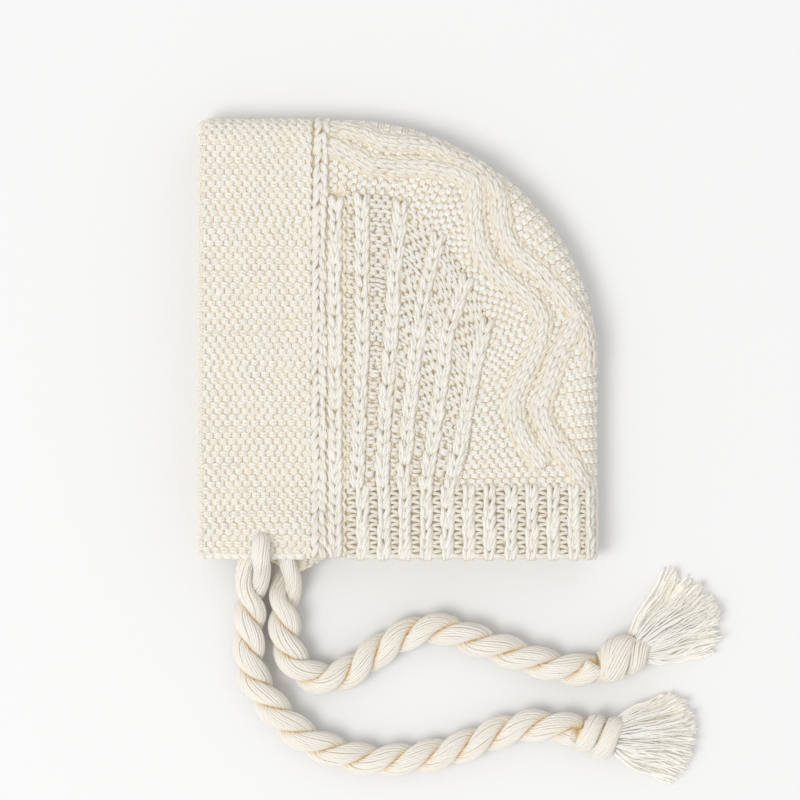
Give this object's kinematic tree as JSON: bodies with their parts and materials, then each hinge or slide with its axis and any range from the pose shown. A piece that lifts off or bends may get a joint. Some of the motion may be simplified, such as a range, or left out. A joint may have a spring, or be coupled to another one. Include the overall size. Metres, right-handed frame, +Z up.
{
  "type": "baby bonnet",
  "caption": "Hand-knitted baby bonnet lying flat on its side, with ribbed side panels, a cabled crown and twisted rope ties that end in knots and tassels.",
  "frame": {"origin": "centre of the bonnet's own box at the surface it lies on, measured without the ties", "axes": "+Z up from the surface through the two layers, +Y from the neck to the top of the head, +X from the face opening to the back of the head"},
  "size_m": [0.2095, 0.2689, 0.0315],
  "materials": {
    "garter_knit": "cream wool in garter stitch, matt and slightly fuzzy",
    "chain_knit": "cream wool in a plaited chain column and a plain knit column",
    "cable_knit": "cream wool, purl ground with raised crossing cable strands",
    "rib_knit": "cream wool in soft wide ribs that fan out",
    "neck_rib_knit": "cream wool in knit-one purl-one rib",
    "rope_yarn": "cream wool yarns laid in two twisted plies",
    "tassel_yarn": "loose wavy cream wool yarns"
  },
  "bodies": {
    "root": {"brim_band": "garter_knit", "front_seam": "chain_knit", "crown_panel": "cable_knit", "left_side_panel": "rib_knit", "right_side_panel": "rib_knit", "neck_band": "neck_rib_knit", "left_tie_loop": "rope_yarn", "right_tie_loop": "rope_yarn", "left_tie_rope": "rope_yarn", "right_tie_rope": "rope_yarn", "left_tie_knot": "rope_yarn", "right_tie_knot": "rope_yarn", "left_tassel": "tassel_yarn", "right_tassel": "tassel_yarn"}
  },
  "joints": []
}
